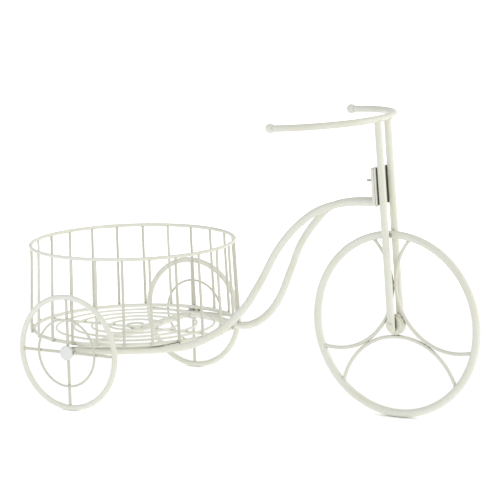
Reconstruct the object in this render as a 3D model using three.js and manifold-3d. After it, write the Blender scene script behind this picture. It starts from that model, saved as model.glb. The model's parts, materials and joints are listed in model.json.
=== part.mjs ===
// Wire tricycle planter: a round wire basket carried between two small rear wheels, with a
// tubular frame, a fork and a large front wheel. Millimetres, +Z up, +X forwards, +Y to the left.
// The origin is on the floor, below the middle of its length.
import * as THREE from "three";
import { mergeVertices } from "three/addons/utils/BufferGeometryUtils.js";
import Module from "manifold-3d";

const wasm = await Module();
wasm.setup();

// Clearances
const weldGap = 0.3; // left between pieces that are welded or seated on each other
const runGap = 0.4; // radial, in a bore that turns on an axle
const sideGap = 0.35; // axial, between a turning hub and what stands beside it
const overrun = 3; // how far a cutter runs past what it cuts

// Frame
const wheelbase = 364;
const tubeDiameter = 8.8; // frame tubes and fork legs
const axleDiameter = 8;
const tubePairGap = 3.4; // between the two frame tubes where they meet the plate
const crossingAngle = 39; // degrees round the basket, where a frame tube passes under its ring

// Basket
const basketTopDiameter = 243.6; // middle of the wire of the upper ring
const basketFloorDiameter = 242.4; // middle of the wire of the lower ring
const basketDepth = 100.9; // between the middles of the two rings
const basketSetForward = 4.7; // middle of the basket, ahead of the rear axle
const ringWire = 4.4;
const uprightWire = 3.3;
const uprightCount = 24;
const firstUprightAngle = -1.5; // degrees from +X
const hookAngle = 20; // degrees that the foot of an upright curls under the lower ring
const flareHeight = 70; // above the lower ring, where the uprights start to lean out
const bellyHeight = 8; // above the lower ring, where they stop
const floorWire = 2.6;
const floorRodDiameter = 3.2;
const floorRingCount = 5;
const floorRingInnerRadius = 10;
const floorRingMargin = 26.5; // from the outermost floor ring to the lower ring

// Rear wheels
const rearWheelDiameter = 137.7;
const rearRimTube = 6.5;
const wheelClearance = 2.65; // between the basket's uprights and a rear wheel
const innerRingDiameter = 79;
const innerRingWire = 2.7;
const spokeDiameter = 3.4;
const spokeCount = 4;
const sleeveDiameter = 13;
const sleeveLength = 5.6;
const hubCapDiameter = 17.5;
const hubCapHeight = 2.9;
const hubCapBore = 1.2; // depth of the blind bore that takes the axle's end

// Front wheel
const frontWheelDiameter = 215.6;
const frontRimTube = 9.1;
const arcWire = 4.2;
const arcCount = 3;
const firstArcAngle = -88; // degrees from +X, for the arc below the hub
const hubDiameter = 20;
const hubLength = 12.5;
const hubCollarDiameter = 23.9;
const hubCollarLength = 5;
const pinDiameter = 5;
const pinCapDiameter = 7.6;
const pinCapHeight = 1.2;
const pinCapBore = 0.5;

// Fork and handlebar
const barHeight = 343.9;
const forkSetback = 11.65; // how far behind the front hub the tops of the legs stand
const legTail = 6.8; // the legs below the front hub's middle
const barDiameter = 8;
const barBow = 63; // how far the bar runs out sideways before it turns back
const barHalfWidth = 90;
const barReach = 90.1;
const barGrip = 31.6; // straight part of each grip
const barDrop = 5; // the grips' ends, below the middle of the bar
const barSag = 1.5; // the bar's middle, ahead of the fork legs
const ballDiameter = 11.5;

// Bracket
const forkPlateThickness = 2.4;
const framePlateThickness = 4;
const plateHeight = 43;
const plateMargin = 0.6; // of the plates beyond the outside of the fork legs
const plateCorner = 2;
const plateAboveWheel = 30.4;
const tubeBelowPlate = 2; // the frame tubes' undersides below the plate's lower edge
const boltDiameter = 3;
const boltLength = 21;
const boltHeight = 26.8; // above the plate's lower edge
const boltHeadDiameter = 5.6;
const boltHeadHeight = 1.9;
const nutAcrossFlats = 5.5;
const nutThickness = 2.4;
const nutSides = 6;

// Path of a frame tube ahead of the basket, as shares of the way from the basket to the bracket:
// along, inwards and up
const risePathShares = [
  [0.116, 0.152, 0.029],
  [0.236, 0.329, 0.119],
  [0.34, 0.501, 0.259],
  [0.424, 0.628, 0.453],
  [0.503, 0.705, 0.658],
  [0.599, 0.769, 0.82],
  [0.698, 0.897, 0.929],
  [0.823, 0.987, 0.982],
];
// One point of the tube between the axle and the crossing, in the same way
const tailPathShare = [0.504, 0.404, 0.59];

// Facets
const tubeSides = 10;
const wireSides = 6;
const ringSides = 8;
const turnedSides = 20;
const domeSteps = 4;
const tubeSteps = 38;
const barSteps = 18;
const arcSteps = 22;
const frontRimSteps = 64;
const rearRimSteps = 44;
const ringSteps = 64;
const innerRingSteps = 36;
const floorRingSteps = 20;
const floorRingStepsMore = 8; // added with each larger floor ring

// Worked out from the sizes above
const tubeRadius = tubeDiameter / 2;
const axleRadius = axleDiameter / 2;
const barRadius = barDiameter / 2;
const rearHubHeight = rearWheelDiameter / 2;
const frontHubHeight = frontWheelDiameter / 2;
const legSpread = hubLength / 2 + sideGap + tubeRadius; // middle of the fork to a leg
const ringRadius = basketFloorDiameter / 2;
const hookRadius = ringWire / 2 + weldGap + uprightWire / 2;
const bellyRadius = ringRadius + hookRadius;
const basketReach = Math.max(bellyRadius + uprightWire / 2, (basketTopDiameter + ringWire) / 2);
const halfTrack = basketReach + wheelClearance + rearRimTube / 2;
const rodHeight = rearHubHeight + axleRadius + weldGap + floorRodDiameter / 2;
const floorHeight = rodHeight + floorRodDiameter / 2 + weldGap + floorWire / 2;
const tubeTail = halfTrack - sleeveLength / 2 - sideGap - tubeRadius;
const plateFoot = frontHubHeight + plateAboveWheel; // up the fork from the hub
const plateWidth = 2 * (legSpread + tubeRadius + plateMargin);
const forkPlateFace = -tubeRadius - weldGap; // ahead of it are the legs
const framePlateFace = forkPlateFace - forkPlateThickness - weldGap;
const tubeEndFace = framePlateFace - framePlateThickness - weldGap;
const forkRake = Math.atan2(forkSetback, barHeight - frontHubHeight);

// Fork frame: its origin is the middle of the front hub, and its Z runs up the legs
const forkMatrix = new THREE.Matrix4()
  .makeTranslation(wheelbase, 0, frontHubHeight)
  .multiply(new THREE.Matrix4().makeRotationY(-forkRake));

function inFork(x, y, z) {
  return new THREE.Vector3(x, y, z).applyMatrix4(forkMatrix);
}

// Materials
const creamPaint = { color: 0xece6d2, roughness: 0.42, metalness: 0 };
const whiteCap = { color: 0xe9e9e4, roughness: 0.5, metalness: 0 };
const zinc = { color: 0x8d9092, roughness: 0.38, metalness: 0.9 };

function mesh(name, geometry, look) {
  const made = new THREE.Mesh(geometry, new THREE.MeshStandardMaterial(look));
  made.name = name;
  return made;
}

// Solids that are cut or joined
function solid(geometry) {
  const bare = new THREE.BufferGeometry();
  const source = geometry.index ? geometry.toNonIndexed() : geometry;
  bare.setAttribute("position", source.getAttribute("position"));
  const merged = mergeVertices(bare);
  return new wasm.Manifold(
    new wasm.Mesh({
      numProp: 3,
      vertProperties: merged.attributes.position.array,
      triVerts: new Uint32Array(merged.index.array),
    }),
  );
}

function geometryOf(manifold) {
  const cut = manifold.getMesh();
  const geometry = new THREE.BufferGeometry();
  geometry.setAttribute("position", new THREE.BufferAttribute(cut.vertProperties, cut.numProp));
  geometry.setIndex(new THREE.BufferAttribute(cut.triVerts, 1));
  const flat = geometry.toNonIndexed();
  flat.computeVertexNormals();
  return flat;
}

// A path that is sampled at its own stations, close together only where it bends
class StationPath extends THREE.Curve {
  constructor(stations) {
    super();
    this.stations = stations;
  }

  getPoint(share, target = new THREE.Vector3()) {
    const place = Math.min(Math.max(share, 0), 1) * (this.stations.length - 1);
    const before = Math.min(Math.floor(place), this.stations.length - 2);
    return target.lerpVectors(this.stations[before], this.stations[before + 1], place - before);
  }

  getPointAt(share, target) {
    return this.getPoint(share, target);
  }

  getTangentAt(share, target) {
    return this.getTangent(share, target);
  }
}

function roundSection(radius, sides) {
  const corners = [];
  for (let i = 0; i < sides; i += 1) {
    const angle = (2 * Math.PI * i) / sides;
    corners.push(new THREE.Vector2(radius * Math.cos(angle), radius * Math.sin(angle)));
  }
  return new THREE.Shape(corners);
}

function tubeAlong(stations, radius, sides) {
  return new THREE.ExtrudeGeometry(roundSection(radius, sides), {
    steps: stations.length - 1,
    extrudePath: new StationPath(stations),
    bevelEnabled: false,
  });
}

function rodBetween(start, end, radius, sides) {
  const along = new THREE.Vector3().subVectors(end, start);
  const geometry = new THREE.CylinderGeometry(radius, radius, along.length(), sides);
  const turn = new THREE.Quaternion().setFromUnitVectors(THREE.Object3D.DEFAULT_UP, along.normalize());
  geometry.applyQuaternion(turn);
  const middle = new THREE.Vector3().addVectors(start, end).multiplyScalar(1 / 2);
  return geometry.translate(middle.x, middle.y, middle.z);
}

// A ring of round wire about Y, with a flat of its section outwards and a flat facet downwards
function wireRing(radius, wire, steps, sides) {
  const corner = wire / 2 / Math.cos(Math.PI / sides);
  const spread = 1 / Math.cos(Math.PI / steps);
  const profile = [];
  for (let i = 0; i <= sides; i += 1) {
    const angle = (2 * Math.PI * ((i % sides) + 1 / 2)) / sides;
    profile.push(new THREE.Vector2((radius + corner * Math.cos(angle)) * spread, corner * Math.sin(angle)));
  }
  return new THREE.LatheGeometry(profile, steps, Math.PI / steps);
}

// A low dome about Y on a flat base, with a blind bore that takes the end of a shaft
function domedCap(diameter, height, boreDiameter, boreDepth) {
  const radius = diameter / 2;
  const wall = height / 3;
  const profile = [new THREE.Vector2(0, boreDepth)];
  profile.push(new THREE.Vector2(boreDiameter / 2, boreDepth));
  profile.push(new THREE.Vector2(boreDiameter / 2, 0));
  profile.push(new THREE.Vector2(radius, 0));
  for (let i = 0; i < domeSteps; i += 1) {
    const angle = (Math.PI * i) / domeSteps / 2;
    profile.push(new THREE.Vector2(radius * Math.cos(angle), wall + (height - wall) * Math.sin(angle)));
  }
  profile.push(new THREE.Vector2(0, height));
  return new THREE.LatheGeometry(profile, turnedSides);
}

// Basket
function upright(turn) {
  const stations = [new THREE.Vector3(basketTopDiameter / 2, 0, basketDepth - ringWire / 2 - weldGap)];
  const lean = bellyRadius - basketTopDiameter / 2;
  const flareShares = [
    [0.22, 1],
    [0.6, 0.5],
    [1, 0],
  ];
  for (const [out, up] of flareShares) {
    const height = bellyHeight + (flareHeight - bellyHeight) * up;
    stations.push(new THREE.Vector3(basketTopDiameter / 2 + lean * out, 0, height));
  }
  const hookSteps = 2;
  for (let i = 0; i <= hookSteps; i += 1) {
    const angle = THREE.MathUtils.degToRad((-hookAngle * i) / hookSteps);
    const out = ringRadius + hookRadius * Math.cos(angle);
    stations.push(new THREE.Vector3(out, 0, hookRadius * Math.sin(angle)));
  }
  return tubeAlong(stations, uprightWire / 2, wireSides).rotateZ(turn);
}

function levelRing(radius, wire, steps, sides) {
  return wireRing(radius, wire, steps, sides).rotateX(Math.PI / 2);
}

function floorRod() {
  const rise = floorHeight - rodHeight - floorRodDiameter / 2;
  const reach = ringRadius - Math.sqrt((ringWire / 2 + weldGap) ** 2 - rise ** 2);
  const ends = [-reach, reach].map((x) => new THREE.Vector3(x, 0, rodHeight - floorHeight));
  return rodBetween(ends[0], ends[1], floorRodDiameter / 2, ringSides);
}

function basket() {
  const group = new THREE.Group();
  group.position.set(basketSetForward, 0, floorHeight);
  const topRing = mesh(
    "basket_top_ring",
    levelRing(basketTopDiameter / 2, ringWire, ringSteps, ringSides),
    creamPaint,
  );
  topRing.position.z = basketDepth;
  group.add(topRing);
  group.add(mesh("basket_bottom_ring", levelRing(ringRadius, ringWire, ringSteps, ringSides), creamPaint));
  for (let i = 0; i < uprightCount; i += 1) {
    const number = String(i + 1).padStart(2, "0");
    const turn = THREE.MathUtils.degToRad(firstUprightAngle) + (2 * Math.PI * i) / uprightCount;
    group.add(mesh("basket_upright_" + number, upright(turn), creamPaint));
  }
  const pitch = (ringRadius - floorRingMargin - floorRingInnerRadius) / (floorRingCount - 1);
  for (let i = 0; i < floorRingCount; i += 1) {
    const steps = floorRingSteps + floorRingStepsMore * i;
    const ring = levelRing(floorRingInnerRadius + pitch * i, floorWire, steps, wireSides);
    group.add(mesh("floor_ring_" + (i + 1), ring, creamPaint));
  }
  group.add(mesh("floor_rod", floorRod(), creamPaint));
  return group;
}

// Frame
function axleAcross(radius, halfLength, sides) {
  const ends = [-halfLength, halfLength].map((y) => new THREE.Vector3(0, y, rearHubHeight));
  return rodBetween(ends[0], ends[1], radius, sides);
}

function rearAxle() {
  const capFoot = halfTrack + sleeveLength / 2 + sideGap;
  return axleAcross(axleRadius, capFoot + hubCapBore - weldGap, turnedSides);
}

function tubePath(side) {
  const angle = THREE.MathUtils.degToRad(crossingAngle);
  const tail = new THREE.Vector3(0, tubeTail, rearHubHeight);
  const crossing = new THREE.Vector3(
    basketSetForward + ringRadius * Math.cos(angle),
    ringRadius * Math.sin(angle),
    floorHeight - ringWire / 2 - weldGap - tubeRadius,
  );
  const seat = plateFoot - tubeBelowPlate + tubeRadius;
  const end = inFork(tubeEndFace + overrun, tubePairGap / 2 + tubeRadius, seat);
  const between = (from, to, [along, across, up]) =>
    new THREE.Vector3(
      THREE.MathUtils.lerp(from.x, to.x, along),
      THREE.MathUtils.lerp(from.y, to.y, across),
      THREE.MathUtils.lerp(from.z, to.z, up),
    );
  const points = [tail, between(tail, crossing, tailPathShare), crossing];
  for (const share of risePathShares) points.push(between(crossing, end, share));
  points.push(end);
  for (const point of points) point.y *= side;
  return new THREE.CatmullRomCurve3(points).getSpacedPoints(tubeSteps);
}

// The tube is shaped to the axle behind and cut off square against the plate in front
function frameTube(side) {
  const blank = solid(tubeAlong(tubePath(side), tubeRadius, tubeSides));
  const saddle = solid(axleAcross(axleRadius + weldGap, halfTrack, turnedSides));
  const depth = framePlateThickness + overrun + overrun;
  const block = new THREE.BoxGeometry(depth, plateWidth, plateHeight);
  block.translate(tubeEndFace + depth / 2, 0, plateFoot + plateHeight / 2);
  block.applyMatrix4(forkMatrix);
  return geometryOf(blank.subtract(saddle).subtract(solid(block)));
}

// Bracket: two plates face to face, in the fork's frame
function plate(face, thickness) {
  const half = plateWidth / 2 - plateCorner;
  const reach = plateHeight / 2 - plateCorner;
  const outline = new THREE.Shape();
  outline.absarc(half, reach, plateCorner, 0, Math.PI / 2);
  outline.absarc(-half, reach, plateCorner, Math.PI / 2, Math.PI);
  outline.absarc(-half, -reach, plateCorner, Math.PI, (3 * Math.PI) / 2);
  outline.absarc(half, -reach, plateCorner, (3 * Math.PI) / 2, 2 * Math.PI);
  const hole = new THREE.Path();
  const holeRadius = boltDiameter / 2 + weldGap;
  hole.absarc(0, boltHeight - plateHeight / 2, holeRadius, 0, 2 * Math.PI, true);
  outline.holes.push(hole);
  const geometry = new THREE.ExtrudeGeometry(outline, {
    depth: thickness,
    bevelEnabled: false,
    curveSegments: 4,
  });
  geometry.rotateX(Math.PI / 2).rotateZ(Math.PI / 2);
  return geometry.translate(face - thickness, 0, plateFoot + plateHeight / 2);
}

function bracketBolt() {
  const radius = boltDiameter / 2;
  const headRadius = boltHeadDiameter / 2;
  const profile = [new THREE.Vector2(0, -boltLength)];
  profile.push(new THREE.Vector2(radius - weldGap, -boltLength));
  profile.push(new THREE.Vector2(radius, -boltLength + weldGap));
  profile.push(new THREE.Vector2(radius, 0));
  profile.push(new THREE.Vector2(headRadius, 0));
  for (let i = 1; i < domeSteps; i += 1) {
    const angle = (Math.PI * i) / domeSteps / 2;
    profile.push(new THREE.Vector2(headRadius * Math.cos(angle), boltHeadHeight * Math.sin(angle)));
  }
  profile.push(new THREE.Vector2(0, boltHeadHeight));
  const geometry = new THREE.LatheGeometry(profile, turnedSides);
  return geometry.rotateZ(-Math.PI / 2).translate(forkPlateFace + weldGap, 0, plateFoot + boltHeight);
}

function bracketNut() {
  const outline = roundSection(nutAcrossFlats / 2 / Math.cos(Math.PI / nutSides), nutSides);
  const hole = new THREE.Path();
  hole.absarc(0, 0, boltDiameter / 2 + weldGap, 0, 2 * Math.PI, true);
  outline.holes.push(hole);
  const geometry = new THREE.ExtrudeGeometry(outline, {
    depth: nutThickness,
    bevelEnabled: false,
    curveSegments: nutSides,
  });
  return geometry.rotateY(-Math.PI / 2).translate(tubeEndFace, 0, plateFoot + boltHeight);
}

function bracket() {
  const group = new THREE.Group();
  group.applyMatrix4(forkMatrix);
  group.add(mesh("fork_plate", plate(forkPlateFace, forkPlateThickness), creamPaint));
  group.add(mesh("frame_plate", plate(framePlateFace, framePlateThickness), creamPaint));
  group.add(mesh("bracket_bolt", bracketBolt(), zinc));
  group.add(mesh("bracket_nut", bracketNut(), zinc));
  return group;
}

// Fork and handlebar
function barPath() {
  const x = wheelbase - forkSetback + barSag;
  const endX = x - barReach;
  const gripDrop = (barDrop * barGrip) / barReach;
  const half = new THREE.CubicBezierCurve3(
    new THREE.Vector3(x, 0, barHeight),
    new THREE.Vector3(x, barBow, barHeight),
    new THREE.Vector3(endX + barGrip, barHalfWidth, barHeight - barDrop + gripDrop),
    new THREE.Vector3(endX, barHalfWidth, barHeight - barDrop),
  );
  const left = half.getPoints(barSteps);
  const mirrored = left.slice(1).map((p) => new THREE.Vector3(p.x, -p.y, p.z));
  return [...mirrored.reverse(), ...left];
}

function handlebar(radius) {
  return tubeAlong(barPath(), radius, tubeSides);
}

// A ball with a flat that sits on the end of the bar
function barBall(side) {
  const radius = ballDiameter / 2;
  const flatAngle = Math.asin(barRadius / radius);
  const steps = 2 * domeSteps;
  const profile = [new THREE.Vector2(0, -radius * Math.cos(flatAngle))];
  for (let i = 0; i < steps; i += 1) {
    const angle = THREE.MathUtils.lerp(flatAngle, Math.PI, i / steps);
    profile.push(new THREE.Vector2(radius * Math.sin(angle), -radius * Math.cos(angle)));
  }
  profile.push(new THREE.Vector2(0, radius));
  const geometry = new THREE.LatheGeometry(profile, turnedSides);
  const stations = barPath();
  const end = side > 0 ? stations.at(-1) : stations[0];
  const before = side > 0 ? stations.at(-2) : stations[1];
  const along = new THREE.Vector3().subVectors(end, before).normalize();
  geometry.applyQuaternion(new THREE.Quaternion().setFromUnitVectors(THREE.Object3D.DEFAULT_UP, along));
  const centre = end.clone().addScaledVector(along, weldGap + radius * Math.cos(flatAngle));
  return geometry.translate(centre.x, centre.y, centre.z);
}

// A leg is shaped to the bar above and bored for the pin below
function forkLeg(side) {
  const length = Math.hypot(forkSetback, barHeight - frontHubHeight);
  const foot = inFork(0, side * legSpread, -legTail);
  const top = inFork(0, side * legSpread, length - barRadius / 2);
  const blank = solid(rodBetween(foot, top, tubeRadius, tubeSides));
  const bore = solid(pinAcross(pinDiameter / 2 + weldGap, legSpread + tubeRadius + overrun));
  return geometryOf(blank.subtract(solid(handlebar(barRadius + weldGap))).subtract(bore));
}

function pinAcross(radius, halfLength) {
  const ends = [-halfLength, halfLength].map((y) => new THREE.Vector3(wheelbase, y, frontHubHeight));
  return rodBetween(ends[0], ends[1], radius, turnedSides);
}

function frame() {
  const group = new THREE.Group();
  group.add(mesh("rear_axle", rearAxle(), creamPaint));
  group.add(mesh("frame_tube_left", frameTube(1), creamPaint));
  group.add(mesh("frame_tube_right", frameTube(-1), creamPaint));
  group.add(mesh("fork_leg_left", forkLeg(1), creamPaint));
  group.add(mesh("fork_leg_right", forkLeg(-1), creamPaint));
  group.add(mesh("handlebar", handlebar(barRadius), creamPaint));
  group.add(mesh("bar_ball_left", barBall(1), creamPaint));
  group.add(mesh("bar_ball_right", barBall(-1), creamPaint));
  group.add(bracket());
  return group;
}

// The pin of the front wheel has a domed head on the right and a pressed cap on the left
function frontPin() {
  const reach = legSpread + tubeRadius + weldGap;
  const shank = pinDiameter / 2;
  const wall = pinCapHeight / 3;
  const profile = [new THREE.Vector2(0, -reach + weldGap - pinCapBore)];
  profile.push(new THREE.Vector2(shank, -reach + weldGap - pinCapBore));
  profile.push(new THREE.Vector2(shank, reach));
  for (let i = 0; i < domeSteps; i += 1) {
    const angle = (Math.PI * i) / domeSteps / 2;
    const height = wall * Math.sign(i) + (pinCapHeight - wall) * Math.sin(angle);
    profile.push(new THREE.Vector2((pinCapDiameter / 2) * Math.cos(angle), reach + height));
  }
  profile.push(new THREE.Vector2(0, reach + pinCapHeight));
  return new THREE.LatheGeometry(profile, turnedSides).rotateX(Math.PI);
}

function frontPinCap() {
  const cap = domedCap(pinCapDiameter, pinCapHeight, pinDiameter + 2 * weldGap, pinCapBore);
  return cap.translate(0, legSpread + tubeRadius + weldGap, 0);
}

// Front wheel, about its own middle
function frontHub() {
  const bore = pinDiameter / 2 + runGap;
  const barrel = hubDiameter / 2;
  const collar = hubCollarDiameter / 2;
  const end = hubLength / 2;
  const step = hubCollarLength / 2;
  const profile = [
    [bore, -end],
    [barrel, -end],
    [barrel, -step],
    [collar, -step],
    [collar, step],
    [barrel, step],
    [barrel, end],
    [bore, end],
    [bore, -end],
  ];
  return new THREE.LatheGeometry(
    profile.map(([x, y]) => new THREE.Vector2(x, y)),
    turnedSides * 2,
  );
}

// Each arc bulges to the hub's collar, and its neighbours touch it on both sides
function frontArc(turn) {
  const rimRadius = frontHubHeight - frontRimTube / 2;
  const apex = hubCollarDiameter / 2 + weldGap + arcWire / 2;
  const slant = Math.sin(Math.PI / arcCount);
  const radius = (apex * slant - (arcWire + weldGap) / 2) / (1 - slant);
  const centre = apex + radius;
  const reach = (centre ** 2 + radius ** 2 - rimRadius ** 2) / (2 * centre * radius);
  const half = Math.acos(reach);
  const stations = [];
  for (let i = 0; i <= arcSteps; i += 1) {
    const angle = Math.PI + THREE.MathUtils.lerp(-half, half, i / arcSteps);
    stations.push(new THREE.Vector3(centre + radius * Math.cos(angle), 0, radius * Math.sin(angle)));
  }
  const blank = solid(tubeAlong(stations, arcWire / 2, ringSides));
  const rim = solid(wireRing(rimRadius, frontRimTube + 2 * weldGap, frontRimSteps, tubeSides));
  return geometryOf(blank.subtract(rim)).rotateY(turn);
}

function frontWheel() {
  const group = new THREE.Group();
  group.position.set(wheelbase, 0, frontHubHeight);
  const rim = wireRing(frontHubHeight - frontRimTube / 2, frontRimTube, frontRimSteps, tubeSides);
  group.add(mesh("front_rim", rim, creamPaint));
  group.add(mesh("front_hub", frontHub(), creamPaint));
  for (let i = 0; i < arcCount; i += 1) {
    const angle = THREE.MathUtils.degToRad(firstArcAngle) + (2 * Math.PI * i) / arcCount;
    group.add(mesh("front_arc_" + (i + 1), frontArc(-angle), creamPaint));
  }
  group.add(mesh("front_pin", frontPin(), creamPaint));
  group.add(mesh("front_pin_cap", frontPinCap(), creamPaint));
  return group;
}

// Rear wheels, about their own middle
function spokedHub() {
  const bore = axleRadius + runGap;
  const outer = sleeveDiameter / 2;
  const half = sleeveLength / 2;
  const profile = [
    [bore, -half],
    [outer, -half],
    [outer, half],
    [bore, half],
    [bore, -half],
  ];
  const sleeve = new THREE.LatheGeometry(
    profile.map(([x, y]) => new THREE.Vector2(x, y)),
    turnedSides,
  );
  let joined = solid(sleeve);
  const root = (bore + outer) / 2;
  const tip = rearHubHeight - rearRimTube - weldGap;
  for (let i = 0; i < spokeCount; i += 1) {
    const spoke = rodBetween(
      new THREE.Vector3(root, 0, 0),
      new THREE.Vector3(tip, 0, 0),
      spokeDiameter / 2,
      ringSides,
    );
    spoke.rotateY((2 * Math.PI * i) / spokeCount);
    joined = joined.add(solid(spoke));
  }
  return geometryOf(joined);
}

function rearWheel(name, side) {
  const group = new THREE.Group();
  group.position.set(0, side * halfTrack, rearHubHeight);
  const rim = wireRing(rearHubHeight - rearRimTube / 2, rearRimTube, rearRimSteps, ringSides);
  group.add(mesh(name + "_rim", rim, creamPaint));
  group.add(mesh(name + "_spoked_hub", spokedHub(), creamPaint));
  const innerRing = wireRing(innerRingDiameter / 2, innerRingWire, innerRingSteps, wireSides);
  innerRing.translate(0, side * (spokeDiameter / 2 + weldGap + innerRingWire / 2), 0);
  group.add(mesh(name + "_inner_ring", innerRing, creamPaint));
  const boreDiameter = axleDiameter + 2 * weldGap;
  const cap = domedCap(hubCapDiameter, hubCapHeight, boreDiameter, hubCapBore);
  if (side < 0) cap.rotateX(Math.PI);
  cap.translate(0, side * (sleeveLength / 2 + sideGap), 0);
  group.add(mesh(name + "_cap", cap, whiteCap));
  return group;
}

const rearReach = basketReach - basketSetForward; // behind the rear axle
const frontReach = wheelbase + frontHubHeight; // ahead of it
const planter = new THREE.Group();
planter.position.x = (rearReach - frontReach) / 2;
planter.add(basket());
planter.add(frame());
planter.add(frontWheel());
planter.add(rearWheel("rear_left", 1));
planter.add(rearWheel("rear_right", -1));

export default planter;
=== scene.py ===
import json
import math

import bpy
import numpy as np
from mathutils import Matrix, Vector

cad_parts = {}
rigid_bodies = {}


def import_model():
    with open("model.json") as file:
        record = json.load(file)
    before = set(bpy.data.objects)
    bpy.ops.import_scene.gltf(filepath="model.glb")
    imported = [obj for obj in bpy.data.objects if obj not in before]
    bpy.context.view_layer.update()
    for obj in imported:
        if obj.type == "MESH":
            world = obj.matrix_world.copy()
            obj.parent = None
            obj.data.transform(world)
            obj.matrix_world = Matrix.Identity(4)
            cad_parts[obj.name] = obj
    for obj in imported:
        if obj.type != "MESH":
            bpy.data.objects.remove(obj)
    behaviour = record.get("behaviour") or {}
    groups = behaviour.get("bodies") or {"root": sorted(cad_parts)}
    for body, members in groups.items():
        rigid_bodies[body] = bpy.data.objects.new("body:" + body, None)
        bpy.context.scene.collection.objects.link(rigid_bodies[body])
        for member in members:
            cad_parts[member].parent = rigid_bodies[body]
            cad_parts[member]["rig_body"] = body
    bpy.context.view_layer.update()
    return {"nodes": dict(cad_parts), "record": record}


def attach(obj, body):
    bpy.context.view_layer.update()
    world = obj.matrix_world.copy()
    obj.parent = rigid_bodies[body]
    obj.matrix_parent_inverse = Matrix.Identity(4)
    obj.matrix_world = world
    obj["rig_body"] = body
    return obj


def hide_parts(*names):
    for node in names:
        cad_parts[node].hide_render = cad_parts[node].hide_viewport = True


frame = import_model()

# In metres, Blender's unit
MILLIMETRE = 0.001

# Sizes in millimetres and angles in degrees, as in the solids. Rods, rings, wheels and balls are
# given by their diameters. The rear axle stands at ORIGIN_X.
WELD_GAP = 0.3
RUN_GAP = 0.4
SIDE_GAP = 0.35
WHEELBASE = 364
TUBE = 8.8
AXLE = 8
TUBE_PAIR_GAP = 3.4
CROSSING_ANGLE = 39

# Basket
BASKET_TOP = 243.6
BASKET_FLOOR = 242.4
BASKET_DEPTH = 100.9
BASKET_FORWARD = 4.7
RING_WIRE = 4.4
UPRIGHT_WIRE = 3.3
UPRIGHTS = 24
FIRST_UPRIGHT_ANGLE = -1.5
HOOK_ANGLE = 20
STRAIGHT_ABOVE = 90
FLARE_HEIGHT = 70
BELLY_HEIGHT = 8
LEAN_PATH = ((0.22, 1), (0.6, 0.5), (1, 0))
HOOK_STEPS = 3
UPRIGHT_WELD_LIFT = 0.4
FLOOR_WIRE = 2.6
FLOOR_ROD = 3.2
FLOOR_RINGS = 5
FIRST_FLOOR_RING_RADIUS = 10
FLOOR_RING_MARGIN = 26.5
ROD_WELD_LIFT = 0.9

# Rear wheels
REAR_WHEEL = 137.7
REAR_RIM_TUBE = 6.5
WHEEL_CLEARANCE = 2.65
INNER_RING = 79
INNER_RING_WIRE = 2.7
SPOKE = 3.4
SPOKE_INSET = 1
SPOKES = 4
SLEEVE = 13
SLEEVE_LENGTH = 5.6
HUB_CAP = 17.5
HUB_CAP_HEIGHT = 2.9
HUB_CAP_BORE = 1.2

# Front wheel and its pin
FRONT_WHEEL = 215.6
FRONT_RIM_TUBE = 9.1
ARC_WIRE = 4.2
ARCS = 3
FIRST_ARC_ANGLE = -88
HUB = 20
HUB_LENGTH = 12.5
HUB_COLLAR = 23.9
HUB_COLLAR_LENGTH = 5
PIN = 5
PIN_CAP = 7.6
PIN_CAP_HEIGHT = 1.2
PIN_CAP_BORE = 0.5

# Fork and handlebar
BAR_HEIGHT = 343.9
FORK_SETBACK = 11.65
LEG_TAIL = 6.8
BAR = 8
BAR_BOW = 63
BAR_HALF_WIDTH = 90
BAR_REACH = 90.1
BAR_GRIP = 31.6
BAR_DROP = 5
BAR_SAG = 1.5
BAR_LOWERED = 0.15
BALL = 11.5

# Bracket
FORK_PLATE_THICKNESS = 2.4
FRAME_PLATE_THICKNESS = 4
PLATE_HEIGHT = 43
PLATE_MARGIN = 0.6
PLATE_CORNER = 2
PLATE_EASE = 0.35
PLATE_ABOVE_WHEEL = 30.4
TUBE_BELOW_PLATE = 2
TUBE_OVERRUN = 3
BOLT = 3
BOLT_LENGTH = 21
BOLT_HEIGHT = 26.8
BOLT_HEAD = 5.6
BOLT_HEAD_HEIGHT = 1.9
BOLT_PITCH = 0.5
THREAD_DEPTH = 0.27
THREAD_STEPS = 10
TIP_SHARE = 0.75
TIP_SLOPE = 0.8
SOCKET = 2.4
SOCKET_FLOOR = 0.8
SOCKET_EASE = 0.1
NUT = 5.5
NUT_THICKNESS = 2.4
NUT_CHAMFER = 0.45
NUT_FACE_SHARE = 1.02
NUT_PLAY = 0.05

# Where the frame tube bends, as shares of the length, width and height from one place to the next:
# from the lower ring up to the plate, and from the axle to the lower ring
RISE_PATH = [
    (0.116, 0.152, 0.029),
    (0.236, 0.329, 0.119),
    (0.34, 0.501, 0.259),
    (0.424, 0.628, 0.453),
    (0.503, 0.705, 0.658),
    (0.599, 0.769, 0.82),
    (0.698, 0.897, 0.929),
    (0.823, 0.987, 0.982),
]
TAIL_PATH = (0.504, 0.404, 0.59)

# How thick the beads of weld are, and how many corners they have all the way round
UPRIGHT_BEAD = 0.5
WIRE_BEAD = 0.6
LEG_BEAD = 0.9
PLATE_BEAD = 0.9
AXLE_BEAD = 1.0
BALL_BEAD = 0.35
WIRE_BEAD_CORNERS = 20
BALL_BEAD_CORNERS = 28
TUBE_BEAD_CORNERS = 40
LUMP_SHARE = 0.09

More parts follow.
